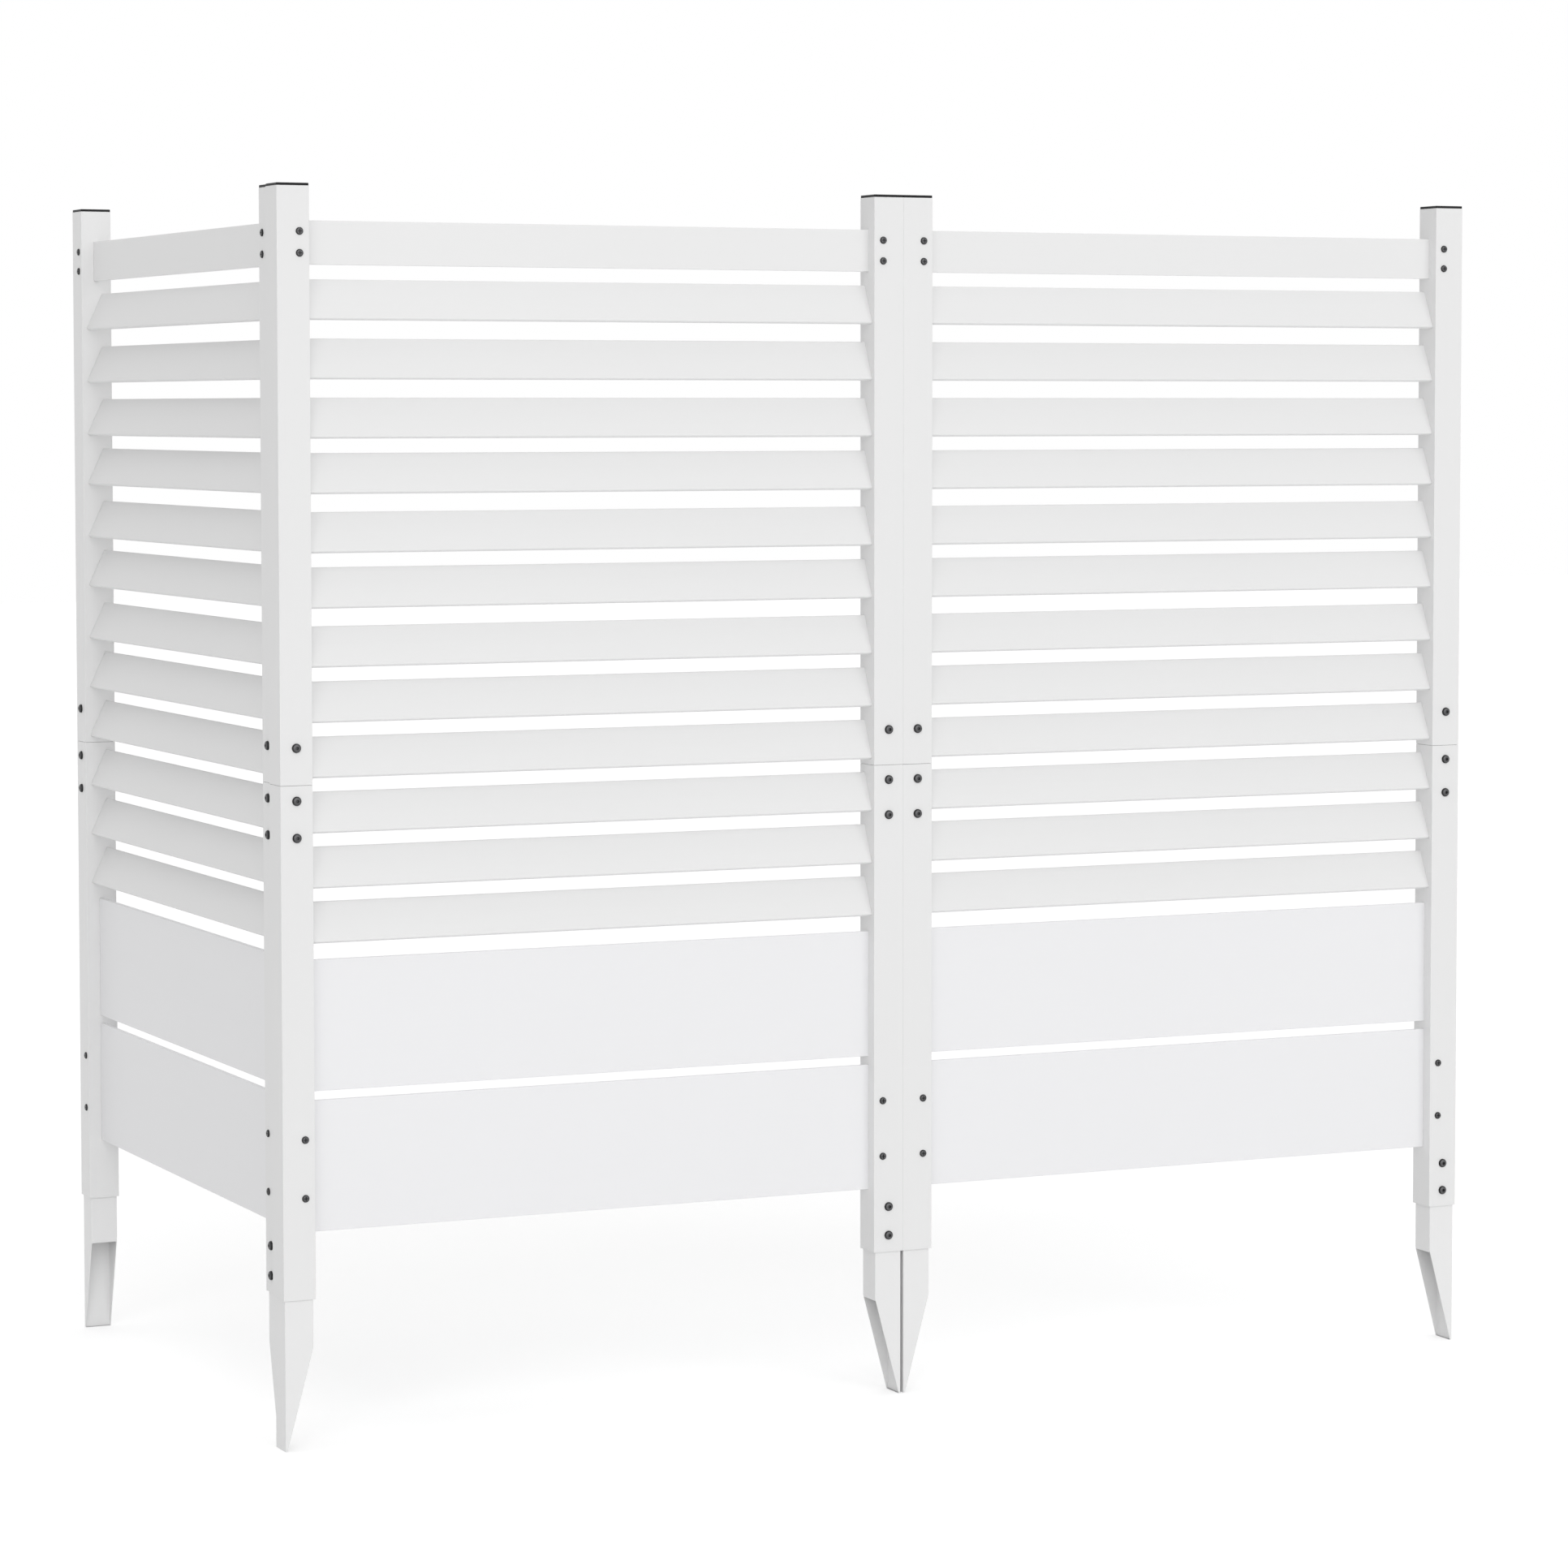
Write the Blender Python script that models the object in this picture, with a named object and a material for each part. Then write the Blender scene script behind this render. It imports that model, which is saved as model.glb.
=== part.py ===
# Louvred privacy screen: three equal panels standing in an L, each on two posts with ground stakes.
# Metres, +Z up. The origin is on the ground in the middle of the screen's bounding box, below the stake tips.
# Each panel is modelled in its own frame: x runs from its left post to its right post, seen from outside,
# y runs inwards from the posts' outer faces, and z starts at the foot of the posts.

import math

import bmesh
import bpy
from mathutils import Matrix, Vector

# Panels
panelWidth = 1.023
pairGap = 0.0003
cornerSetIn = 0.0065

# Posts
postWidth = 0.050
postHeight = 1.650
postWall = 0.002
postEdgeRadius = 0.0015
postEdgeSegments = 2
capThickness = 0.004
capPlugDepth = 0.008
capEdgeRadius = 0.001
seamHeight = 0.767
grooveDepth = 0.0008
grooveHeight = 0.001

# Splice channel at the seam, and its bolts
channelWall = 0.0025
channelBite = 0.0005
channelMargin = 0.017
spliceBoltRise = 0.055
spliceBoltDrop = 0.023
spliceBoltLowDrop = 0.078
boltHole = 0.0084

# Ground stakes
stakeReach = 0.227
stakeWall = 0.0012
stakeClearance = 0.00075
stakeShift = 0.0005
stakeCutDrop = 0.073
stakeTipWidth = 0.003
stakeTopClearance = 0.0075
stakeBoltLow = 0.0265
stakeBoltHigh = 0.0715
twiceCutStakes = ("corner_side",)

# Rail, slats and boards
slatCount = 12
slatWidth = 0.065
slatThickness = 0.008
slatEdgeRadius = 0.001
slatEdgeSegments = 2
slatTilt = math.radians(25)
slatSeat = 0.012
slotClearance = 0.0004
railDrop = 0.050
railGap = 0.0202
wideStepsAfter = (1, 2, 4, 6)
wideStepShare = 1.065
boardHeight = 0.197
boardThickness = 0.008
boardGap = 0.0135
boardFoot = 0.0975
lastSlatGap = 0.024

# Screws that hold the rail and the lower board
screwedSeat = 0.025
screwInset = 0.015
screwHole = 0.0045
railScrewHalfSpacing = 0.016
boardScrewHalfSpacing = 0.044
holeSides = 12

# One overrun for every cut, and how near two points of an outline are welded
overrun = 0.001
weldDistance = 0.00001

# Edges flatter than this are shaded smooth
smoothAngle = math.radians(50)

# Sizes worked out from those above
boreWidth = postWidth - 2 * postWall
stakeWidth = boreWidth - 2 * stakeClearance
stakeSocket = boardFoot - stakeTopClearance
postMiddle = postWidth / 2
clearWidth = panelWidth - 2 * postWidth
railBottom = postHeight - railDrop - slatWidth
boardsTop = boardFoot + 2 * boardHeight + boardGap
slatHalfRise = slatWidth / 2 * math.cos(slatTilt) + slatThickness / 2 * math.sin(slatTilt)
screenWidth = 2 * panelWidth + pairGap
screenDepth = postWidth + pairGap + panelWidth

whites = {
    "post": (0.86, 0.86, 0.86),
    "slat": (0.88, 0.88, 0.88),
    "board": (0.88, 0.88, 0.89),
    "stake": (0.84, 0.84, 0.85),
}
whiteRoughness = 0.45


def clearScene():
    for found in list(bpy.data.objects):
        bpy.data.objects.remove(found, do_unlink=True)


def newCollection(name):
    made = bpy.data.collections.new(name)
    bpy.context.scene.collection.children.link(made)
    return made


def newMaterial(name, colour):
    made = bpy.data.materials.new(name)
    made.use_nodes = True
    surface = made.node_tree.nodes["Principled BSDF"]
    surface.inputs["Base Color"].default_value = (*colour, 1)
    surface.inputs["Roughness"].default_value = whiteRoughness
    surface.inputs["Metallic"].default_value = 0
    return made


def addBar(mesh, size, radius, segments, along, place):
    """Adds a box of this size to the mesh, with its four edges along one axis rounded, set by a matrix."""
    corners = bmesh.ops.create_cube(mesh, size=1)["verts"]
    bmesh.ops.scale(mesh, vec=size, verts=corners)
    if radius:
        edges = {edge for corner in corners for edge in corner.link_edges}
        long = [edge for edge in edges if abs((edge.verts[0].co - edge.verts[1].co)[along]) > size[along] / 2]
        before = set(mesh.verts) - set(corners)
        bmesh.ops.bevel(mesh, geom=long, offset=radius, segments=segments, profile=0.5, affect="EDGES")
        corners = [corner for corner in mesh.verts if corner not in before]
    bmesh.ops.transform(mesh, matrix=place, verts=corners)
    return corners


def addPeg(mesh, diameter, start, end):
    """Adds a round peg between two points to the mesh, as a cutter for a hole. It has a flat side downwards."""
    axis = end - start
    halfSide = Matrix.Rotation(math.pi / holeSides, 4, "Z")
    turn = axis.to_track_quat("Z", "Y").to_matrix().to_4x4() @ halfSide
    bmesh.ops.create_cone(
        mesh,
        cap_ends=True,
        segments=holeSides,
        radius1=diameter / 2,
        radius2=diameter / 2,
        depth=axis.length,
        matrix=Matrix.Translation((start + end) / 2) @ turn,
    )


def meshFrom(name, built):
    bmesh.ops.recalc_face_normals(built, faces=built.faces)
    made = bpy.data.meshes.new(name)
    built.to_mesh(made)
    built.free()
    return made


def outlineMesh(name, outlines, depth):
    """A solid of this depth, centred on the plane of its closed outlines. Inner outlines are holes."""
    curve = bpy.data.curves.new(name, "CURVE")
    curve.dimensions = "2D"
    curve.fill_mode = "BOTH"
    curve.extrude = depth / 2
    for points in outlines:
        spline = curve.splines.new("POLY")
        spline.points.add(len(points) - 1)
        for point, (across, up) in zip(spline.points, points):
            point.co = (across, up, 0, 1)
        spline.use_cyclic_u = True
    flat = bpy.data.objects.new(name, curve)
    bpy.context.scene.collection.objects.link(flat)
    evaluated = flat.evaluated_get(bpy.context.evaluated_depsgraph_get())
    made = bpy.data.meshes.new_from_object(evaluated)
    bpy.data.objects.remove(flat, do_unlink=True)
    welded = bmesh.new()
    welded.from_mesh(made)
    bpy.data.meshes.remove(made)
    bmesh.ops.remove_doubles(welded, verts=welded.verts, dist=weldDistance)
    return meshFrom(name, welded)


def square(width):
    half = width / 2
    return [(-half, -half), (half, -half), (half, half), (-half, half)]


def addObject(name, mesh, collection, parent, place=Matrix.Identity(4), material=None):
    made = bpy.data.objects.new(name, mesh)
    collection.objects.link(made)
    made.parent = parent
    made.matrix_local = place
    if material:
        mesh.materials.clear()
        mesh.materials.append(material)
    return made


def addCutter(name, mesh, parent, place=Matrix.Identity(4)):
    made = addObject(name, mesh, cutters, parent, place)
    made.hide_render = True
    made.display_type = "WIRE"
    return made


def addBoolean(body, other, operation="DIFFERENCE"):
    step = body.modifiers.new(other.name, "BOOLEAN")
    step.object = other
    step.operation = operation
    step.solver = "EXACT"


def slatCentres():
    """Heights of the slats' middles from the top down. The steps after a few upper slats are wider."""
    first = railBottom - railGap - slatHalfRise
    last = boardsTop + lastSlatGap + slatHalfRise
    steps = [wideStepShare if number in wideStepsAfter else 1 for number in range(1, slatCount)]
    narrowStep = (first - last) / sum(steps)
    heights = [first]
    for step in steps:
        heights.append(heights[-1] - step * narrowStep)
    return heights


def planks():
    """Each plank between the posts: its name, height, thickness, seat in a post and place in the panel."""
    upright = Matrix.Identity(4)
    tilted = Matrix.Rotation(-slatTilt, 4, "X")
    across = panelWidth / 2
    rail = Matrix.Translation((across, postMiddle, railBottom + slatWidth / 2))
    listed = [("top_rail", slatWidth, slatThickness, screwedSeat, rail @ upright)]
    for number, height in enumerate(slatCentres(), start=1):
        place = Matrix.Translation((across, postMiddle, height)) @ tilted
        listed.append((f"slat_{number:02d}", slatWidth, slatThickness, slatSeat, place))
    lower = Matrix.Translation((across, postMiddle, boardFoot + boardHeight / 2))
    upper = Matrix.Translation((across, postMiddle, boardsTop - boardHeight / 2))
    listed.append(("upper_board", boardHeight, boardThickness, slatSeat, upper @ upright))
    listed.append(("lower_board", boardHeight, boardThickness, screwedSeat, lower @ upright))
    return listed


def slotCutter(panel, frame):
    """One cutter for the slots of both posts: every plank's section with clearance, through the inner walls."""
    length = clearWidth + 2 * (postWall + overrun)
    built = bmesh.new()
    for _, height, thickness, _, place in planks():
        size = (length, thickness + 2 * slotClearance, height + 2 * slotClearance)
        addBar(built, size, slatEdgeRadius + slotClearance, slatEdgeSegments, 0, place)
    return addCutter(f"{panel}_slots", meshFrom("slots", built), frame)


def holeCutter(panel, frame):
    """One cutter for the screw and bolt holes of both posts. A left post's stake is bolted from behind."""
    railMiddle = railBottom + slatWidth / 2
    boardMiddle = boardFoot + boardHeight / 2
    screws = [railMiddle - railScrewHalfSpacing, railMiddle + railScrewHalfSpacing]
    screws += [boardMiddle - boardScrewHalfSpacing, boardMiddle + boardScrewHalfSpacing]
    splices = [seamHeight + spliceBoltRise, seamHeight - spliceBoltDrop, seamHeight - spliceBoltLowDrop]
    depth = postWall + stakeClearance + stakeWall + channelWall + overrun
    built = bmesh.new()
    for side, mirrored in ((0, 1), (panelWidth, -1)):
        middle = side + mirrored * postMiddle
        inset = side + mirrored * (postWidth - screwInset)
        for height in screws:
            addPeg(built, screwHole, Vector((inset, -overrun, height)), Vector((inset, depth, height)))
        for height in splices:
            addPeg(built, boltHole, Vector((middle, -overrun, height)), Vector((middle, depth, height)))
        for height in (stakeBoltLow, stakeBoltHigh):
            start = Vector((middle, postWidth + overrun if mirrored == 1 else -overrun, height))
            end = Vector((middle, postWidth - depth if mirrored == 1 else depth, height))
            addPeg(built, boltHole, start, end)
    return addCutter(f"{panel}_holes", meshFrom("holes", built), frame)


def addPost(name, frame, x, panelSide, slots, holes):
    """A post with its cap, its seam and the splice channel inside. panelSide is +1 where the panel is at +x."""
    fullHeight = postHeight + capThickness
    built = bmesh.new()
    size = (postWidth, postWidth, fullHeight)
    raised = Matrix.Translation((0, 0, fullHeight / 2))
    addBar(built, size, postEdgeRadius, postEdgeSegments, 2, raised)
    rim = [edge for edge in built.edges if all(corner.co.z > postHeight for corner in edge.verts)]
    bmesh.ops.bevel(built, geom=rim, offset=capEdgeRadius, segments=1, profile=0.5, affect="EDGES")
    place = Matrix.Translation((x, postMiddle, 0))
    post = addObject(name, meshFrom("post", built), parts, frame, place, materials["post"])

    boreTop = postHeight - capPlugDepth
    built = bmesh.new()
    size = (boreWidth, boreWidth, boreTop + overrun)
    addBar(built, size, 0, 0, 2, Matrix.Translation((0, 0, (boreTop - overrun) / 2)))
    bore = addCutter(f"{name}_bore", meshFrom("bore", built), post)

    ring = outlineMesh("ring", [square(postWidth + 2 * overrun), square(postWidth - 2 * grooveDepth)], grooveHeight)
    seam = addCutter(f"{name}_seam", ring, post, Matrix.Translation((0, 0, seamHeight)))
    capLine = addCutter(f"{name}_cap_line", ring, post, Matrix.Translation((0, 0, postHeight)))

    channelTop = seamHeight + spliceBoltRise + channelMargin
    channelFoot = seamHeight - spliceBoltLowDrop - channelMargin
    outside = boreWidth / 2 + channelBite
    inside = boreWidth / 2 - channelWall
    mouth = panelSide * inside
    back = -panelSide
    channelOutline = [
        (mouth, -outside),
        (back * outside, -outside),
        (back * outside, outside),
        (mouth, outside),
        (mouth, inside),
        (back * inside, inside),
        (back * inside, -inside),
        (mouth, -inside),
    ]
    channelMesh = outlineMesh("channel", [channelOutline], channelTop - channelFoot)
    lifted = Matrix.Translation((0, 0, (channelTop + channelFoot) / 2))
    channel = addCutter(f"{name}_channel", channelMesh, post, lifted)

    addBoolean(post, bore)
    addBoolean(post, channel, "UNION")
    addBoolean(post, seam)
    addBoolean(post, capLine)
    addBoolean(post, holes)
    addBoolean(post, slots)


def addStake(name, frame, x, tipSide, holes, twice):
    """A square tube that slides up inside the post. One wall runs down to the tip, on the side of tipSide.
    A stake that is cut twice keeps only the corner between that wall and the outer one at its tip."""
    built = bmesh.new()
    length = stakeReach + stakeSocket
    centre = Matrix.Translation((0, 0, (stakeSocket - stakeReach) / 2))
    addBar(built, (stakeWidth, stakeWidth, length), postEdgeRadius, postEdgeSegments, 2, centre)
    turn = Matrix.Rotation(0 if tipSide > 0 else math.pi, 4, "Z")
    place = Matrix.Translation((x + tipSide * stakeShift, postMiddle, 0)) @ turn
    stake = addObject(name, meshFrom("stake", built), parts, frame, place, materials["stake"])

    built = bmesh.new()
    inner = stakeWidth - 2 * stakeWall
    addBar(built, (inner, inner, length + 2 * overrun), 0, 0, 2, centre)
    bore = addCutter(f"{name}_bore", meshFrom("bore", built), stake)

    start = Vector((-stakeWidth / 2, -stakeCutDrop))
    end = Vector((stakeWidth / 2 - stakeTipWidth, -stakeReach))
    run = (end - start).normalized() * overrun
    start -= run
    end += run
    wedge = outlineMesh("wedge", [[start, end, (start.x, end.y)]], stakeWidth + 2 * overrun)
    upright = Matrix.Rotation(math.pi / 2, 4, "X")
    cut = addCutter(f"{name}_cut", wedge, stake, upright)

    addBoolean(stake, bore)
    addBoolean(stake, cut)
    if twice:
        towardsOutside = Matrix.Rotation(-math.pi / 2, 4, "Z") @ upright
        addBoolean(stake, addCutter(f"{name}_second_cut", wedge, stake, towardsOutside))
    addBoolean(stake, holes)


def addPanel(panel, leftPost, rightPost, place):
    frame = bpy.data.objects.new(f"{panel}_frame", None)
    parts.objects.link(frame)
    frame.matrix_local = place
    slots = slotCutter(panel, frame)
    holes = holeCutter(panel, frame)
    for name, x, panelSide in ((leftPost, postMiddle, 1), (rightPost, panelWidth - postMiddle, -1)):
        addPost(f"{name}_post", frame, x, panelSide, slots, holes)
        addStake(f"{name}_stake", frame, x, -panelSide, holes, name in twiceCutStakes)
    for name, height, thickness, seat, spot in planks():
        built = bmesh.new()
        size = (clearWidth + 2 * seat, thickness, height)
        addBar(built, size, slatEdgeRadius, slatEdgeSegments, 0, Matrix.Identity(4))
        material = materials["board" if "board" in name else "slat"]
        addObject(f"{panel}_{name}", meshFrom(name, built), parts, frame, spot, material)


clearScene()
parts = newCollection("air_conditioner_screen")
cutters = newCollection("cutters")
materials = {name: newMaterial(f"{name}_white", colour) for name, colour in whites.items()}

left = -screenWidth / 2
front = -screenDepth / 2
addPanel("left_panel", "corner_front", "middle_left", Matrix.Translation((left, front, stakeReach)))
beside = Matrix.Translation((left + panelWidth + pairGap, front, stakeReach))
addPanel("right_panel", "middle_right", "right_end", beside)
backwards = Matrix.Translation((left + cornerSetIn, -front, stakeReach)) @ Matrix.Rotation(-math.pi / 2, 4, "Z")
addPanel("side_panel", "back_end", "corner_side", backwards)

for part in parts.objects:
    if part.type == "MESH":
        part.data.shade_smooth()
        part.data.set_sharp_from_angle(angle=smoothAngle)
        part.modifiers.new("flat_faces_stay_flat", "WEIGHTED_NORMAL").keep_sharp = True
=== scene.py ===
import math

import bmesh
import bpy
from mathutils import Matrix, Vector


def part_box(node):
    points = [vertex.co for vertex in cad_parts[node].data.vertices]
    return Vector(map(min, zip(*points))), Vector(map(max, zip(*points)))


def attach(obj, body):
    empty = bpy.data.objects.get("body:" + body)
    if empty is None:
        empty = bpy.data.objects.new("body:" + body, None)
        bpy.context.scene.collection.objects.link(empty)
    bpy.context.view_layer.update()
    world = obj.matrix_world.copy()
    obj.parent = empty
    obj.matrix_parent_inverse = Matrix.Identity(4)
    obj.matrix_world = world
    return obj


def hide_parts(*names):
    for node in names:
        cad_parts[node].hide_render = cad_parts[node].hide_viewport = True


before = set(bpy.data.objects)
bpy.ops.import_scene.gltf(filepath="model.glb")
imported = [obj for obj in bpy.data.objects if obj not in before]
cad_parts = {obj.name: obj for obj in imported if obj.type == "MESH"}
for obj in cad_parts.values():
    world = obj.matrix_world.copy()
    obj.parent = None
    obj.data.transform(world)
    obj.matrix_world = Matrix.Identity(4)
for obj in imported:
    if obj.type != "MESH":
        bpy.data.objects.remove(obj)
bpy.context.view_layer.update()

print("frame loaded:", len(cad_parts), "nodes")

# The looks of a louvred screen: three equal white panels that stand in an L. Lengths are in metres.
# Each panel hangs between two posts, left post first as seen from outside, and is turned about the vertical.
panels = {
    "left_panel": {"posts": ("corner_front", "middle_left"), "turn": 0},
    "right_panel": {"posts": ("middle_right", "right_end"), "turn": 0},
    "side_panel": {"posts": ("back_end", "corner_side"), "turn": -math.pi / 2},
}

squareOn = 0.999  # a face looks along an axis if its normal's share of that axis is larger than this
sharpAngle = math.radians(50)
weldDistance = 0.00001
cutTolerance = 0.000001


# Places. A panel's own frame has x along it from its left post, y inwards and z up from the posts' feet.

def panelFrame(panel):
    low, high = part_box(f"{panels[panel]['posts'][0]}_post")
    turn = panels[panel]["turn"]
    corner = Vector((low.x, high.y if turn else low.y, low.z))
    return Matrix.Translation(corner) @ Matrix.Rotation(turn, 4, "Z")


# Lowest and highest corner of a CAD node in its panel's own frame.
def localBox(panel, node):
    back = panelFrame(panel).inverted()
    ends = [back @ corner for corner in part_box(node)]
    low = Vector([min(a, b) for a, b in zip(*ends)])
    high = Vector([max(a, b) for a, b in zip(*ends)])
    return low, high


# Finishes

def newGroup(name, inputs, outputs):
    group = bpy.data.node_groups.new(name, "ShaderNodeTree")
    for way, sockets in (("INPUT", inputs), ("OUTPUT", outputs)):
        for label, kind in sockets.items():
            group.interface.new_socket(label, in_out=way, socket_type=kind)
    return group, group.nodes.new("NodeGroupInput"), group.nodes.new("NodeGroupOutput")


def addNoise(tree, vector, scale, detail, roughness=0.5):
    noise = tree.nodes.new("ShaderNodeTexNoise")
    noise.inputs["Detail"].default_value = detail
    noise.inputs["Roughness"].default_value = roughness
    if isinstance(scale, (int, float)):
        noise.inputs["Scale"].default_value = scale
    else:
        tree.links.new(scale, noise.inputs["Scale"])
    tree.links.new(vector, noise.inputs["Vector"])
    return noise.outputs["Fac"]


def addMath(tree, operation, first, second):
    step = tree.nodes.new("ShaderNodeMath")
    step.operation = operation
    for socket, value in zip(step.inputs, (first, second)):
        if isinstance(value, (int, float)):
            socket.default_value = value
        else:
            tree.links.new(value, socket)
    return step.outputs[0]


def mixColours(tree, factor, first, second):
    mix = tree.nodes.new("ShaderNodeMix")
    mix.data_type = "RGBA"
    tree.links.new(factor, mix.inputs["Factor"])
    for label, colour in (("A", first), ("B", second)):
        if isinstance(colour, tuple):
            mix.inputs[label].default_value = (*colour, 1)
        else:
            tree.links.new(colour, mix.inputs[label])
    return mix.outputs["Result"]


skinSettings = {
    "streakScale": 1,
    "streakDetail": 4,
    "streakRoughness": 0.6,
    "streakShare": 0.35,
    "cloudScale": 2.2,
    "cloudDetail": 3,
    "cloudShare": 0.65,
    "peelDetail": 2,
    "peelShare": 0.75,
}


# Extruded and painted skin: faint streaks along the length, fine peel, and slow clouds of tone.
def buildSkinGroup():
    settings = skinSettings
    group, start, end = newGroup(
        "extrudedSkin",
        {"Vector": "NodeSocketVector", "Stretch": "NodeSocketVector", "Peel Scale": "NodeSocketFloat"},
        {"Tone": "NodeSocketFloat", "Gloss": "NodeSocketFloat", "Height": "NodeSocketFloat"},
    )
    stretched = group.nodes.new("ShaderNodeVectorMath")
    stretched.operation = "MULTIPLY"
    group.links.new(start.outputs["Vector"], stretched.inputs[0])
    group.links.new(start.outputs["Stretch"], stretched.inputs[1])
    streaks = addNoise(
        group, stretched.outputs[0], settings["streakScale"],
        settings["streakDetail"], settings["streakRoughness"],
    )
    peel = addNoise(group, start.outputs["Vector"], start.outputs["Peel Scale"], settings["peelDetail"])
    clouds = addNoise(group, start.outputs["Vector"], settings["cloudScale"], settings["cloudDetail"])
    tone = addMath(
        group, "ADD",
        addMath(group, "MULTIPLY", clouds, settings["cloudShare"]),
        addMath(group, "MULTIPLY", streaks, settings["streakShare"]),
    )
    height = addMath(
        group, "ADD",
        addMath(group, "MULTIPLY", peel, settings["peelShare"]),
        addMath(group, "MULTIPLY", streaks, 1 - settings["peelShare"]),
    )
    group.links.new(tone, end.inputs["Tone"])
    group.links.new(streaks, end.inputs["Gloss"])
    group.links.new(height, end.inputs["Height"])
    return group


skinGroup = buildSkinGroup()


def skinMaterial(name, values):
    made = bpy.data.materials.new(name)
    made.use_nodes = True
    tree = made.node_tree
    surface = tree.nodes["Principled BSDF"]
    place = tree.nodes.new("ShaderNodeTexCoord")
    skin = tree.nodes.new("ShaderNodeGroup")
    skin.node_tree = skinGroup
    skin.inputs["Stretch"].default_value = values["stretch"]
    skin.inputs["Peel Scale"].default_value = values["peelScale"]
    tree.links.new(place.outputs["Object"], skin.inputs["Vector"])

    shown = mixColours(tree, skin.outputs["Tone"], values["dark"], values["light"])
    if "paintedShadeColour" in values:
        # Bolt and screw heads get painted light and shade from a value stored on the mesh: 1 on the top of
        # the dome, which is painted lit, and less at the rim and in the socket, which are painted shade.
        paintedLightNode = tree.nodes.new("ShaderNodeAttribute")
        paintedLightNode.attribute_name = "paintedLight"
        shown = mixColours(tree, paintedLightNode.outputs["Fac"], values["paintedShadeColour"], shown)
    tree.links.new(shown, surface.inputs["Base Color"])

    gloss = tree.nodes.new("ShaderNodeMapRange")
    gloss.inputs["To Min"].default_value = values["roughness"][0]
    gloss.inputs["To Max"].default_value = values["roughness"][1]
    tree.links.new(skin.outputs["Gloss"], gloss.inputs["Value"])
    tree.links.new(gloss.outputs["Result"], surface.inputs["Roughness"])

    bump = tree.nodes.new("ShaderNodeBump")
    bump.inputs["Strength"].default_value = values["bump"]
    bump.inputs["Distance"].default_value = values["bumpDepth"]
    tree.links.new(skin.outputs["Height"], bump.inputs["Height"])
    tree.links.new(bump.outputs["Normal"], surface.inputs["Normal"])
    surface.inputs["Metallic"].default_value = values.get("metallic", 0)
    surface.inputs["Specular IOR Level"].default_value = values.get("specular", 0.5)
    return made


def grey(level, extraBlue=0):
    return (level, level, level + extraBlue)


alongX, alongY, alongZ = (2.5, 260, 260), (260, 2.5, 260), (260, 260, 2.5)
evenly = (420, 420, 420)
whiteFinish = {"roughness": (0.36, 0.5), "peelScale": 700, "bump": 0.18, "bumpDepth": 0.0002}
# The Front and Side copies of the slat, rail and board whites run their streaks along their own panel, and
# are also lit and shaded copies of one white: their tones differ as painted light and shade for how the light
# falls on the front and the side panel, and the side slats and boards are painted darker.
finishes = {
    "postWhite": {**whiteFinish, "dark": grey(0.783), "light": grey(0.808), "stretch": alongZ},
    "slatWhiteFront": {**whiteFinish, "dark": grey(0.789), "light": grey(0.815), "stretch": alongX},
    "slatWhiteSide": {**whiteFinish, "dark": grey(0.774), "light": grey(0.8), "stretch": alongY},
    "railWhiteFront": {**whiteFinish, "dark": grey(0.792), "light": grey(0.817), "stretch": alongX},
    "railWhiteSide": {**whiteFinish, "dark": grey(0.794), "light": grey(0.818), "stretch": alongY},
    "boardWhiteFront": {
        **whiteFinish, "dark": grey(0.831, 0.01), "light": grey(0.851, 0.015), "stretch": alongX,
    },
    "boardWhiteSide": {
        **whiteFinish, "dark": grey(0.812, 0.01), "light": grey(0.831, 0.01), "stretch": alongY,
    },
    "stakeWhite": {
        "dark": grey(0.796), "light": grey(0.821), "stretch": alongZ, "peelScale": 480,
        "roughness": (0.3, 0.48), "bump": 0.3, "bumpDepth": 0.0002,
    },
    "channelBlack": {
        "dark": grey(0.01, 0.001), "light": grey(0.018, 0.001), "stretch": alongZ, "peelScale": 500,
        "roughness": (0.45, 0.65), "bump": 0.2, "bumpDepth": 0.0002, "specular": 0.3,
    },
    "capBlack": {
        "dark": grey(0.005, 0.001), "light": grey(0.01, 0.001), "stretch": evenly, "peelScale": 1500,
        "roughness": (0.42, 0.6), "bump": 0.35, "bumpDepth": 0.0001, "specular": 0.22,
    },
    "boltBlack": {
        # Beside the dark and light of the metal, the heads take a darker colour as painted shade at the rim
        # and in the socket.
        "dark": grey(0.077, 0.003), "light": grey(0.116, 0.003), "paintedShadeColour": grey(0.016, 0.001),
        "stretch": evenly, "peelScale": 2600, "roughness": (0.28, 0.42), "bump": 0.2, "bumpDepth": 0.00005,
        "metallic": 0.85,
    },
}
materials = {name: skinMaterial(name, values) for name, values in finishes.items()}
print("finishes made:", len(materials))


# Shapes. Every builder works in a panel's own frame, and finishPiece carries its mesh to its place.

def finishPiece(name, mesh, panel, finish, nodes=()):
    bmesh.ops.transform(mesh, matrix=panelFrame(panel), verts=mesh.verts)
    bmesh.ops.recalc_face_normals(mesh, faces=mesh.faces)
    for face in mesh.faces:
        face.smooth = True
    made = bpy.data.meshes.new(name)
    mesh.to_mesh(made)
    mesh.free()
    made.set_sharp_from_angle(angle=sharpAngle)
    made.materials.append(materials[finish])
    piece = bpy.data.objects.new(name, made)
    bpy.context.scene.collection.objects.link(piece)
    weighted = piece.modifiers.new("Weighted normals", "WEIGHTED_NORMAL")
    weighted.keep_sharp = True
    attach(piece, "root")
    if nodes:
        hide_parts(*nodes)


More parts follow.
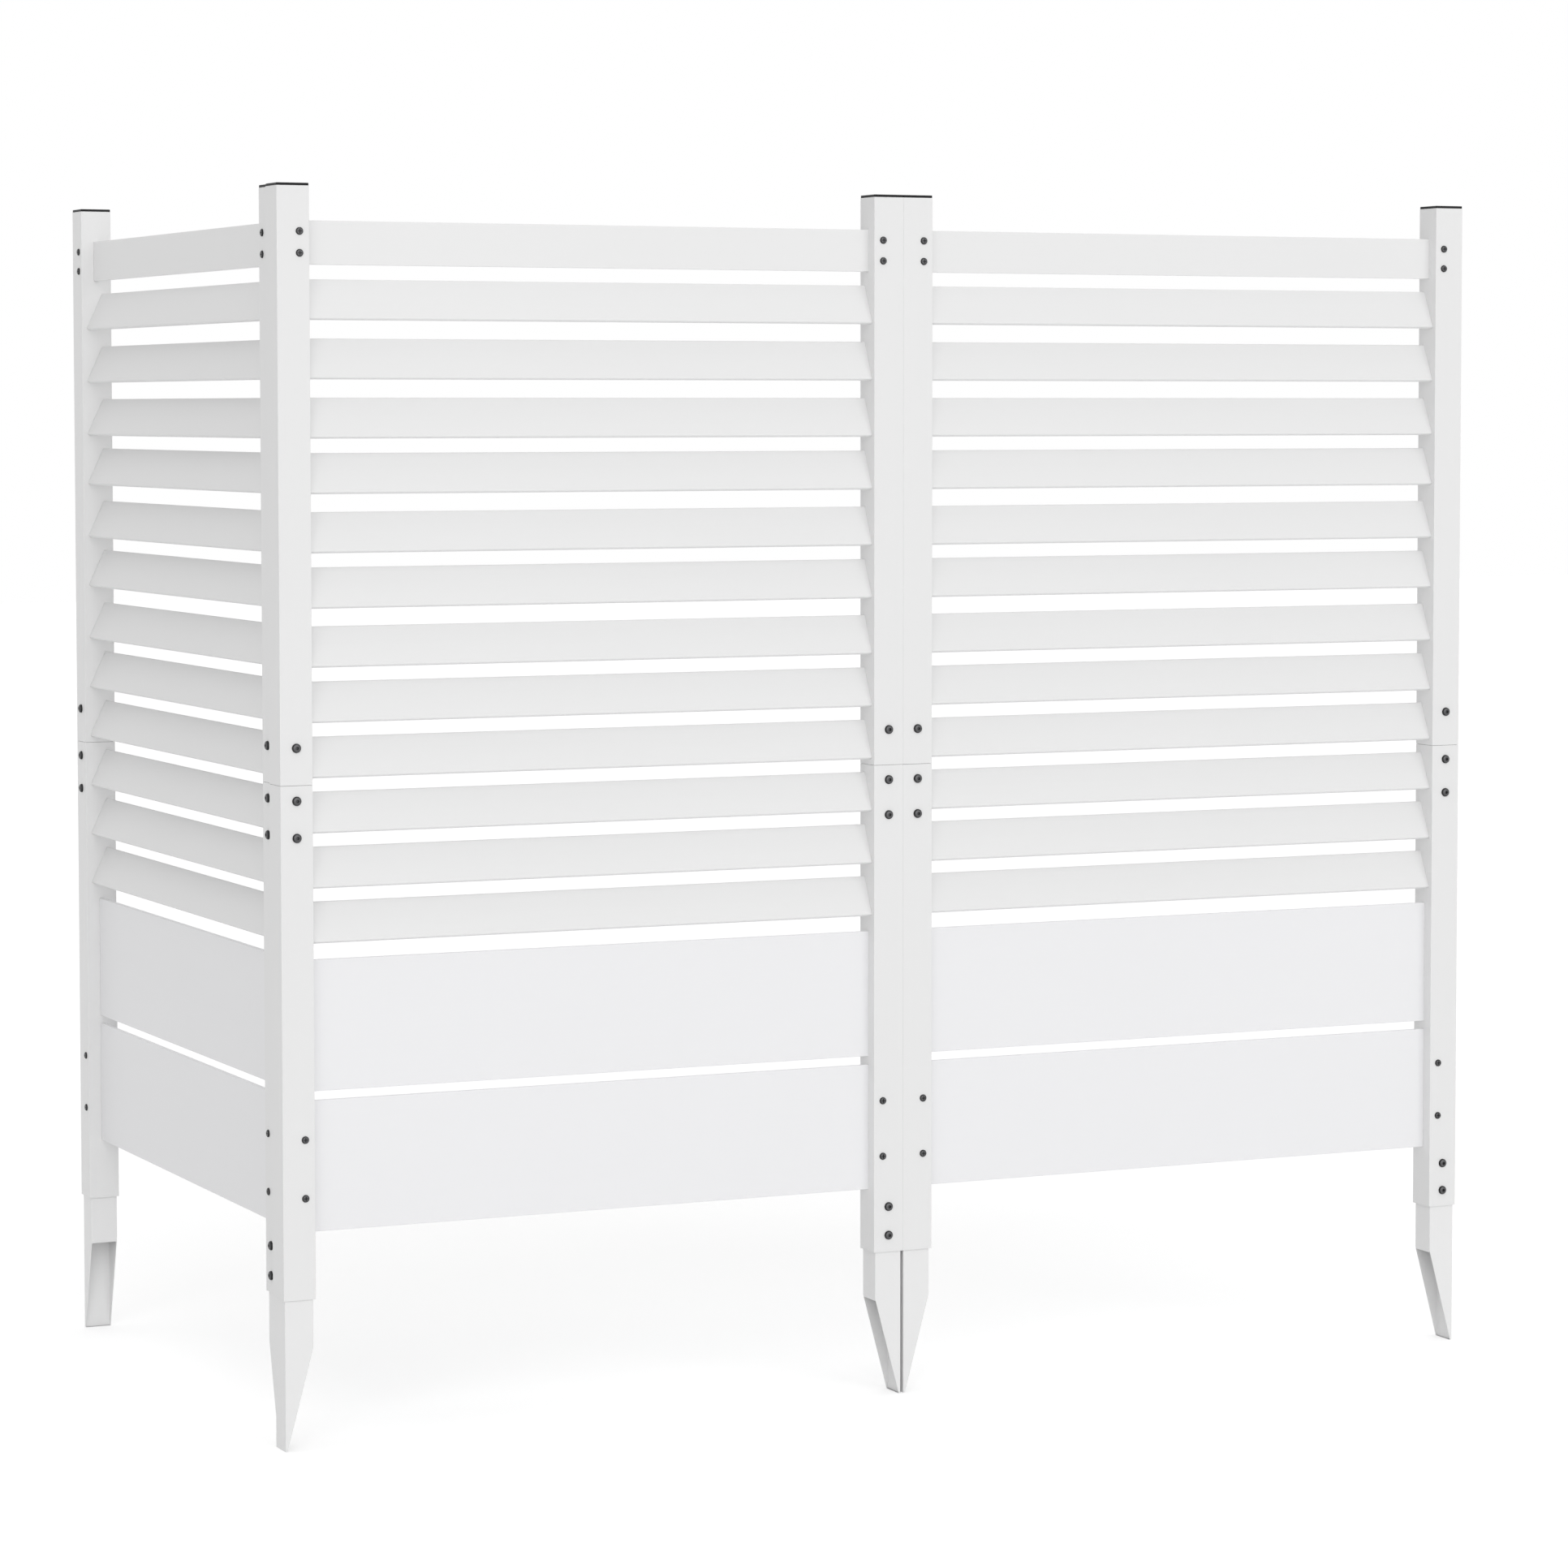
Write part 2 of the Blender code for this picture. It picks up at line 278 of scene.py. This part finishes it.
# A box whose four edges along one axis are rounded.
def addBar(mesh, size, radius, segments, axis, place=Matrix.Identity(4)):
    corners = bmesh.ops.create_cube(mesh, size=1)["verts"]
    bmesh.ops.scale(mesh, vec=size, verts=corners)
    edges = {edge for corner in corners for edge in corner.link_edges}
    long = [edge for edge in edges if abs((edge.verts[0].co - edge.verts[1].co)[axis]) > size[axis] / 2]
    kept = set(mesh.verts) - set(corners)
    bmesh.ops.bevel(
        mesh, geom=long, offset=radius, offset_type="OFFSET", segments=segments,
        profile=0.5, affect="EDGES", material=-1,
    )
    made = [corner for corner in mesh.verts if corner not in kept]
    bmesh.ops.transform(mesh, matrix=place, verts=made)


# Moves the new corners of an extrusion.
def moveMade(mesh, made, way):
    corners = [found for found in made["geom"] if isinstance(found, bmesh.types.BMVert)]
    bmesh.ops.translate(mesh, vec=way, verts=corners)
    return corners


# A flat face with holes, as a new mesh: the first outline is its rim and the others are its holes.
def flatMesh(outlines):
    curve = bpy.data.curves.new("outline", "CURVE")
    curve.dimensions = "2D"
    curve.fill_mode = "BOTH"
    for points in outlines:
        spline = curve.splines.new("POLY")
        spline.points.add(len(points) - 1)
        for point, (across, up) in zip(spline.points, points):
            point.co = (across, up, 0, 1)
        spline.use_cyclic_u = True
    drawn = bpy.data.objects.new("outline", curve)
    bpy.context.scene.collection.objects.link(drawn)
    flat = bpy.data.meshes.new_from_object(drawn.evaluated_get(bpy.context.evaluated_depsgraph_get()))
    bpy.data.objects.remove(drawn, do_unlink=True)
    bpy.data.curves.remove(curve)
    made = bmesh.new()
    made.from_mesh(flat)
    bpy.data.meshes.remove(flat)
    bmesh.ops.remove_doubles(made, verts=made.verts, dist=weldDistance)
    return made


# Points of a rectangle with round corners, turned about its centre.
def roundedOutline(width, height, radius, steps, turn, centre):
    points = []
    for quarter, (signX, signY) in enumerate(((1, 1), (-1, 1), (-1, -1), (1, -1))):
        for step in range(steps + 1):
            angle = math.pi / 2 * (quarter + step / steps)
            x = signX * (width / 2 - radius) + radius * math.cos(angle)
            y = signY * (height / 2 - radius) + radius * math.sin(angle)
            points.append((
                centre[0] + x * math.cos(turn) - y * math.sin(turn),
                centre[1] + x * math.sin(turn) + y * math.cos(turn),
            ))
    return points


# Slats, rails and boards

slatValues = {
    "count": 12,
    "width": 0.065,
    "thickness": 0.008,
    "tilt": math.radians(25),
    "radius": 0.0025,
    "segments": 5,
}
flatValues = {"radius": 0.001, "segments": 4}
slotValues = {"clearance": 0.00015, "cornerSteps": 4}
slats = [f"slat_{number:02d}" for number in range(1, slatValues["count"] + 1)]
flats = ["top_rail", "upper_board", "lower_board"]


def buildSlat(panel, slat, finish):
    low, high = localBox(panel, f"{panel}_{slat}")
    size = (high.x - low.x, slatValues["thickness"], slatValues["width"])
    place = Matrix.Translation((low + high) / 2) @ Matrix.Rotation(-slatValues["tilt"], 4, "X")
    mesh = bmesh.new()
    addBar(mesh, size, slatValues["radius"], slatValues["segments"], 0, place)
    name = f"{panel}_{slat.replace('slat', 'louvre')}"
    finishPiece(name, mesh, panel, finish, [f"{panel}_{slat}"])


def buildFlat(panel, node, name, finish):
    low, high = localBox(panel, f"{panel}_{node}")
    mesh = bmesh.new()
    place = Matrix.Translation((low + high) / 2)
    addBar(mesh, high - low, flatValues["radius"], flatValues["segments"], 0, place)
    finishPiece(f"{panel}_{name}", mesh, panel, finish, [f"{panel}_{node}"])


# Outlines, as y and z, of the slots that lie between two heights in the inner wall of a post.
def slotOutlines(panel, bottom, top):
    clearance = slotValues["clearance"]
    found = []
    for node in slats + flats:
        low, high = localBox(panel, f"{panel}_{node}")
        middle = (low + high) / 2
        if not bottom < middle.z < top:
            continue
        if node in slats:
            thickness, width, turn = slatValues["thickness"], slatValues["width"], -slatValues["tilt"]
            radius = slatValues["radius"]
        else:
            thickness, width, turn = high.y - low.y, high.z - low.z, 0
            radius = flatValues["radius"]
        found.append(roundedOutline(
            thickness + 2 * clearance, width + 2 * clearance, radius + clearance,
            slotValues["cornerSteps"], turn, (middle.y, middle.z),
        ))
    return found


# Posts. The tubes are a hair wider than the CAD's, so that the line between two posts that touch stays faint.

postValues = {
    "wall": 0.002,
    "swell": 0.00014,
    "edgeRadius": 0.0005,
    "edgeSegments": 3,
    "seamHeight": 0.767,
    "seamGap": 0.0005,
}
capValues = {
    "thickness": 0.004,
    "gap": 0.0001,
    "cornerRadius": 0.0015,
    "cornerSegments": 3,
    "edgeRadius": 0.0008,
    "edgeSegments": 3,
    "plugDepth": 0.008,
    "plugSlack": 0.0002,
}
channelValues = {"wall": 0.0025, "slack": 0.0002, "bottom": 0.672, "top": 0.839}


# One length of post: a tube open at both ends, with slots in the wall that faces the panel.
def buildTube(name, panel, post, panelSide, bottom, top, nodes):
    low, high = localBox(panel, f"{post}_post")
    width = high.x - low.x + 2 * postValues["swell"]
    middle = Vector(((low.x + high.x) / 2, (low.y + high.y) / 2, (bottom + top) / 2))
    mesh = bmesh.new()
    addBar(mesh, (width, width, top - bottom), postValues["edgeRadius"], postValues["edgeSegments"], 2)
    ends = [face for face in mesh.faces if abs(face.normal.z) > squareOn]
    slotted = [face for face in mesh.faces if face.normal.x * panelSide > squareOn]
    bmesh.ops.delete(mesh, geom=ends + slotted, context="FACES")
    bmesh.ops.solidify(mesh, geom=mesh.faces[:], thickness=postValues["wall"])
    bmesh.ops.translate(mesh, vec=middle, verts=mesh.verts)

    # The slotted wall is a flat outline with holes, pushed out to the wall's thickness and stood up.
    half = width / 2 - postValues["edgeRadius"]
    sides = (middle.y - half, middle.y + half)
    rim = [(sides[0], bottom), (sides[1], bottom), (sides[1], top), (sides[0], top)]
    wall = flatMesh([rim] + slotOutlines(panel, bottom, top))
    moveMade(wall, bmesh.ops.extrude_face_region(wall, geom=wall.faces[:]), (0, 0, postValues["wall"]))
    bmesh.ops.recalc_face_normals(wall, faces=wall.faces)
    outer = middle.x + panelSide * width / 2
    inner = outer - postValues["wall"] if panelSide > 0 else outer
    stood = Matrix(((0, 0, 1, inner), (1, 0, 0, 0), (0, 1, 0, 0), (0, 0, 0, 1)))
    bmesh.ops.transform(wall, matrix=stood, verts=wall.verts)
    carried = bpy.data.meshes.new("wall")
    wall.to_mesh(carried)
    wall.free()
    mesh.from_mesh(carried)
    bpy.data.meshes.remove(carried)
    finishPiece(name, mesh, panel, "postWhite", nodes)


def buildCap(name, panel, post):
    low, high = localBox(panel, f"{post}_post")
    width = high.x - low.x
    thickness = capValues["thickness"] - capValues["gap"]
    mesh = bmesh.new()
    addBar(mesh, (width, width, thickness), capValues["cornerRadius"], capValues["cornerSegments"], 2)
    rim = [edge for edge in mesh.edges if all(corner.co.z > 0 for corner in edge.verts)]
    bmesh.ops.bevel(
        mesh, geom=rim, offset=capValues["edgeRadius"], offset_type="OFFSET",
        segments=capValues["edgeSegments"], profile=0.5, affect="EDGES", material=-1,
    )
    # The plug is drawn down from the middle of the underside into the tube.
    under = [face for face in mesh.faces if face.normal.z < -squareOn]
    bmesh.ops.inset_region(mesh, faces=under, thickness=postValues["wall"] + capValues["plugSlack"])
    moveMade(mesh, bmesh.ops.extrude_face_region(mesh, geom=under), (0, 0, -capValues["plugDepth"]))
    bmesh.ops.delete(mesh, geom=under, context="FACES_ONLY")
    middle = ((low.x + high.x) / 2, (low.y + high.y) / 2, high.z - thickness / 2)
    bmesh.ops.translate(mesh, vec=middle, verts=mesh.verts)
    finishPiece(name, mesh, panel, "capBlack")


# The splice inside the seam: a channel that is open towards the panel. It is black, which darkens the seam
# line between the tubes.
def buildChannel(name, panel, post, panelSide):
    low, high = localBox(panel, f"{post}_post")
    wall = channelValues["wall"]
    width = high.x - low.x - 2 * postValues["wall"] - 2 * channelValues["slack"]
    height = channelValues["top"] - channelValues["bottom"]
    mesh = bmesh.new()
    bmesh.ops.create_cube(mesh, size=1)
    bmesh.ops.scale(mesh, vec=(width - wall, width, height), verts=mesh.verts)
    away = [
        face for face in mesh.faces
        if abs(face.normal.z) > squareOn or face.normal.x * panelSide > squareOn
    ]
    bmesh.ops.delete(mesh, geom=away, context="FACES")
    bmesh.ops.solidify(mesh, geom=mesh.faces[:], thickness=wall)
    middle = (low + high) / 2
    middle.x -= panelSide * wall / 2
    middle.z = channelValues["bottom"] + height / 2
    bmesh.ops.translate(mesh, vec=middle, verts=mesh.verts)
    finishPiece(name, mesh, panel, "channelBlack")


def buildPost(panel, post, panelSide):
    low, high = localBox(panel, f"{post}_post")
    seam, half = postValues["seamHeight"], postValues["seamGap"] / 2
    tubeTop = high.z - capValues["thickness"]
    buildTube(f"{post}_upper_tube", panel, post, panelSide, seam + half, tubeTop, [f"{post}_post"])
    buildTube(f"{post}_lower_tube", panel, post, panelSide, low.z, seam - half, [])
    buildCap(f"{post}_cap", panel, post)
    buildChannel(f"{post}_splice_channel", panel, post, panelSide)


# Ground stakes

stakeValues = {
    "wall": 0.0012,
    "cutDrop": 0.073,
    "tipWidth": 0.003,
    "edgeRadius": 0.0012,
    "innerRadius": 0.0004,
    "edgeSegments": 3,
    "twiceCut": "corner_side",
}


# Cuts the foot off at a slant and closes the cut. The tip is left on the side that it is cut towards.
def cutAway(mesh, centre, towards, width, bottom):
    start = centre - towards * width / 2
    start.z = -stakeValues["cutDrop"]
    end = centre + towards * (width / 2 - stakeValues["tipWidth"])
    end.z = bottom
    slope = (end - start).normalized()
    downwards = slope.cross(towards.cross(Vector((0, 0, 1))))
    if downwards.z > 0:
        downwards.negate()
    made = bmesh.ops.bisect_plane(
        mesh, geom=mesh.verts[:] + mesh.edges[:] + mesh.faces[:], dist=cutTolerance,
        plane_co=start, plane_no=downwards, clear_outer=True,
    )["geom_cut"]
    rims = [found for found in made if isinstance(found, bmesh.types.BMEdge) and found.is_boundary]
    bmesh.ops.triangle_fill(mesh, use_beauty=True, edges=rims)


# A tube whose foot is cut off at a slant, so that only the wall away from the panel reaches the tip.
# One of them is cut a second time, and keeps only the corner of its two outer walls.
def buildStake(panel, post, panelSide):
    low, high = localBox(panel, f"{post}_stake")
    width = high.x - low.x
    height = high.z - low.z
    inner = width - 2 * stakeValues["wall"]
    mesh = bmesh.new()
    for across, radius in ((width, stakeValues["edgeRadius"]), (inner, stakeValues["innerRadius"])):
        addBar(mesh, (across, across, height), radius, stakeValues["edgeSegments"], 2)
    ends = [face for face in mesh.faces if abs(face.normal.z) > squareOn]
    bmesh.ops.delete(mesh, geom=ends, context="FACES")
    bmesh.ops.translate(mesh, vec=(low + high) / 2, verts=mesh.verts)
    rims = [edge for edge in mesh.edges if edge.is_boundary]
    for level in (low.z, high.z):
        ring = [
            edge for edge in rims
            if all(abs(corner.co.z - level) < weldDistance for corner in edge.verts)
        ]
        bmesh.ops.bridge_loops(mesh, edges=ring)
    centre = Vector(((low.x + high.x) / 2, (low.y + high.y) / 2, 0))
    cutAway(mesh, centre, Vector((-panelSide, 0, 0)), width, low.z)
    if post == stakeValues["twiceCut"]:
        cutAway(mesh, centre, Vector((0, -1, 0)), width, low.z)
    finishPiece(f"{post}_ground_stake", mesh, panel, "stakeWhite", [f"{post}_stake"])


# Screws and bolts. A head is a dome around a flat top, and its socket is sunk into that top.

boltValues = {
    "headRadius": 0.007,
    "headHeight": 0.0044,
    "rimShare": 0.16,
    "flatRadius": 0.0034,
    "domeSteps": 6,
    "socket": 0.0025,
    "socketDepth": 0.0026,
    "floorShare": 0.9,
    "shankRadius": 0.004,
    "shankLength": 0.012,
    "sides": 48,
    # The last two values place painted light and shade on the head: the share of its radius from which
    # painted shade grows towards the rim, and how light the socket is painted.
    "rimShadeStart": 0.76,
    "socketPaintedLight": 0.5,
}
screwValues = {
    "headRadius": 0.0057,
    "headHeight": 0.0026,
    "rimShare": 0.16,
    "flatRadius": 0.0038,
    "domeSteps": 5,
    "socket": 0.0033,
    "armShare": 0.2,
    "socketDepth": 0.0018,
    "floorShare": 0.9,
    "shankRadius": 0.0021,
    "shankLength": 0.020,
    "sides": 48,
    # As for the bolts, the last two values place painted light and shade on the head.
    "rimShadeStart": 0.74,
    "socketPaintedLight": 0.15,
    "inset": 0.015,
}


# Points along the sides of a socket, as many as the ring around it has.
def sharedOut(corners, sides):
    share = sides // len(corners)
    points = []
    for i, corner in enumerate(corners):
        for step in range(share):
            points.append(corner.lerp(corners[(i + 1) % len(corners)], step / share))
    return points


def socketHexagon(values):
    radius = values["socket"] / math.cos(math.pi / 6)
    corners = [Vector((math.cos(math.pi / 3 * i), math.sin(math.pi / 3 * i))) * radius for i in range(6)]
    return sharedOut(corners, values["sides"])


def socketCross(values):
    long, short = values["socket"], values["socket"] * values["armShare"]
    arm = [(long, -short), (long, short), (short, short)]
    corners = []
    for quarter in range(4):
        turn = Matrix.Rotation(math.pi / 2 * quarter, 2)
        corners += [turn @ Vector(corner) for corner in arm]
    return sharedOut(corners, values["sides"])


def ringEdges(mesh, points, height):
    corners = [mesh.verts.new((x, y, height)) for x, y in points]
    return [mesh.edges.new((corner, corners[(i + 1) % len(corners)])) for i, corner in enumerate(corners)]


# Draws a ring of edges on to the next one, moved along the axis and scaled about it.
def stepRing(mesh, edges, scale, drop):
    made = bmesh.ops.extrude_edge_only(mesh, edges=edges)
    corners = moveMade(mesh, made, (0, 0, -drop))
    bmesh.ops.scale(mesh, vec=(scale, scale, 1), verts=corners)
    inRing = set(corners)
    return [
        found for found in made["geom"]
        if isinstance(found, bmesh.types.BMEdge) and set(found.verts) <= inRing
    ]


# The painted light and shade at a corner of a head: 1 on the top, which is painted lit, less and less towards
# the rim, which is painted shade, and a lower value down in the socket, painted shade too.
def paintedLightAt(place, values):
    distance = place.xy.length
    if place.z < values["headHeight"] - weldDistance and distance < values["flatRadius"]:
        return values["socketPaintedLight"]
    past = (distance / values["headRadius"] - values["rimShadeStart"]) / (1 - values["rimShadeStart"])
    return 1 - math.sqrt(min(max(past, 0), 1))


# A head on a short shank. Its axis is z until it is placed.
def buildFastener(name, panel, values, socket, place, backwards):
    mesh = bmesh.new()
    flatRadius, sides = values["flatRadius"], values["sides"]
    firstAngle = math.atan2(socket[0][1], socket[0][0])  # the ring starts in line with the socket
    angles = [firstAngle + 2 * math.pi * i / sides for i in range(sides)]
    flatRim = [(math.cos(angle) * flatRadius, math.sin(angle) * flatRadius) for angle in angles]
    outer = ringEdges(mesh, flatRim, values["headHeight"])
    inner = ringEdges(mesh, socket, values["headHeight"])
    bmesh.ops.bridge_loops(mesh, edges=outer + inner)
    floor = stepRing(mesh, inner, values["floorShare"], values["socketDepth"])
    bmesh.ops.contextual_create(mesh, geom=floor)

    # The dome is a quarter of an ellipse from the flat top to the rim, and the rim is a short upright edge.
    ring, radius, height = outer, flatRadius, values["headHeight"]
    rimHeight = values["headHeight"] * values["rimShare"]
    for step in range(1, values["domeSteps"] + 1):
        angle = math.pi / 2 * step / values["domeSteps"]
        nextRadius = flatRadius + (values["headRadius"] - flatRadius) * math.sin(angle)
        nextHeight = rimHeight + (values["headHeight"] - rimHeight) * math.cos(angle)
        ring = stepRing(mesh, ring, nextRadius / radius, height - nextHeight)
        radius, height = nextRadius, nextHeight
    ring = stepRing(mesh, ring, 1, height)
    ring = stepRing(mesh, ring, values["shankRadius"] / radius, 0)
    ring = stepRing(mesh, ring, 1, values["shankLength"])
    bmesh.ops.contextual_create(mesh, geom=ring)

    # Painted light and shade, kept on each corner of the head.
    paintedLight = mesh.verts.layers.float.new("paintedLight")
    for corner in mesh.verts:
        corner[paintedLight] = paintedLightAt(corner.co, values)
    upright = Matrix.Rotation(-math.pi / 2 if backwards else math.pi / 2, 4, "X")
    bmesh.ops.transform(mesh, matrix=Matrix.Translation(place) @ upright, verts=mesh.verts)
    finishPiece(name, mesh, panel, "boltBlack")


# Heights above the foot of the posts.
fastenerRows = {
    "rail_screw": {"values": screwValues, "socket": socketCross, "heights": (1.5833, 1.5513)},
    "board_screw": {"values": screwValues, "socket": socketCross, "heights": (0.2394, 0.1517)},
    "splice_bolt": {"values": boltValues, "socket": socketHexagon, "heights": (0.8224, 0.7440, 0.6890)},
    "stake_bolt": {"values": boltValues, "socket": socketHexagon, "heights": (0.0715, 0.0263)},
}


# Screws are inset from the side of a post that holds the panel, and bolts sit in its middle.
def buildFasteners(panel, post, panelSide):
    low, high = localBox(panel, f"{post}_post")
    holding = high.x if panelSide > 0 else low.x
    for kind, row in fastenerRows.items():
        values = row["values"]
        socket = row["socket"](values)
        across = holding - panelSide * values["inset"] if "inset" in values else (low.x + high.x) / 2
        backwards = kind == "stake_bolt" and panelSide > 0  # a left post's stake is bolted from behind
        face = high.y if backwards else low.y
        for number, height in enumerate(row["heights"], start=1):
            place = (across, face, height)
            buildFastener(f"{post}_{kind}_{number}", panel, values, socket, place, backwards)


for panel, about in panels.items():
    # Each panel takes its own copies of the whites, toned with painted light and shade for how the light
    # falls on it.
    way = "Side" if about["turn"] else "Front"
    for slat in slats:
        buildSlat(panel, slat, f"slatWhite{way}")
    buildFlat(panel, "top_rail", "rail", f"railWhite{way}")
    buildFlat(panel, "upper_board", "upper_plank", f"boardWhite{way}")
    buildFlat(panel, "lower_board", "lower_plank", f"boardWhite{way}")
    for post, panelSide in zip(about["posts"], (1, -1)):
        buildPost(panel, post, panelSide)
        buildStake(panel, post, panelSide)
        buildFasteners(panel, post, panelSide)
    print("built", panel)


# Floor, light and camera

studio = {
    "floorSize": 60,
    "floorColour": grey(0.93),
    "floorGlow": 0.27,
    "skyStrength": 0.51,
    "lampSpread": math.radians(80),
    "lamps": {
        "keyLight": {"from": (-0.15, -0.95, 0.28), "strength": 1.52},
        "topLight": {"from": (0, 0.25, 0.97), "strength": 0.64},
    },
}
cameraView = {
    "place": Vector((-3.2833, -7.2032, 1.5479)),
    "yaw": 0.432553,
    "pitch": 0.058087,
    "roll": -0.00065,
    "lens": 109.318,
    "sensor": 36,
    "shiftY": -0.0621,
    "farthest": 200,
}


# 1 for rays that show the background itself: those of the camera, of reflections and through glass.
def seenRay(tree):
    path = tree.nodes.new("ShaderNodeLightPath")
    seen = addMath(tree, "MAXIMUM", path.outputs["Is Camera Ray"], path.outputs["Is Glossy Ray"])
    return addMath(tree, "MAXIMUM", seen, path.outputs["Is Transmission Ray"])


def buildFloor():
    mesh = bmesh.new()
    bmesh.ops.create_grid(mesh, x_segments=2, y_segments=2, size=studio["floorSize"] / 2)
    made = bpy.data.meshes.new("studio_floor")
    mesh.to_mesh(made)
    mesh.free()
    floor = bpy.data.objects.new("studio_floor", made)
    bpy.context.scene.collection.objects.link(floor)
    paper = bpy.data.materials.new("floorPaper")
    paper.use_nodes = True
    tree = paper.node_tree
    surface = tree.nodes["Principled BSDF"]
    surface.inputs["Base Color"].default_value = (*studio["floorColour"], 1)
    surface.inputs["Roughness"].default_value = 1
    surface.inputs["Specular IOR Level"].default_value = 0
    surface.inputs["Emission Color"].default_value = (1, 1, 1, 1)
    glow = addMath(tree, "MULTIPLY", seenRay(tree), studio["floorGlow"])
    tree.links.new(glow, surface.inputs["Emission Strength"])
    made.materials.append(paper)


# The sky is plain white where it is seen, and lights the screen with its own lower strength.
def buildLight():
    world = bpy.data.worlds.new("studioWorld")
    world.use_nodes = True
    tree = world.node_tree
    background = tree.nodes["Background"]
    background.inputs["Color"].default_value = (1, 1, 1, 1)
    extra = addMath(tree, "MULTIPLY", seenRay(tree), 1 - studio["skyStrength"])
    strength = addMath(tree, "ADD", extra, studio["skyStrength"])
    tree.links.new(strength, background.inputs["Strength"])
    bpy.context.scene.world = world

    for name, values in studio["lamps"].items():
        sun = bpy.data.lights.new(name, "SUN")
        sun.energy = values["strength"]
        sun.angle = studio["lampSpread"]
        lamp = bpy.data.objects.new(name, sun)
        lamp.rotation_euler = Vector(values["from"]).to_track_quat("Z", "Y").to_euler()
        bpy.context.scene.collection.objects.link(lamp)


def buildCamera():
    made = bpy.data.cameras.new("camera")
    made.lens = cameraView["lens"]
    made.sensor_width = cameraView["sensor"]
    made.shift_y = cameraView["shiftY"]
    made.clip_end = cameraView["farthest"]
    camera = bpy.data.objects.new("camera", made)
    turned = Matrix.Rotation(-cameraView["yaw"], 4, "Z")
    turned = turned @ Matrix.Rotation(math.pi / 2 - cameraView["pitch"], 4, "X")
    turned = turned @ Matrix.Rotation(cameraView["roll"], 4, "Z")
    camera.matrix_world = Matrix.Translation(cameraView["place"]) @ turned
    bpy.context.scene.collection.objects.link(camera)
    bpy.context.scene.camera = camera


buildFloor()
buildLight()
buildCamera()
bpy.context.scene.view_settings.view_transform = "Standard"
print("floor, light and camera set")
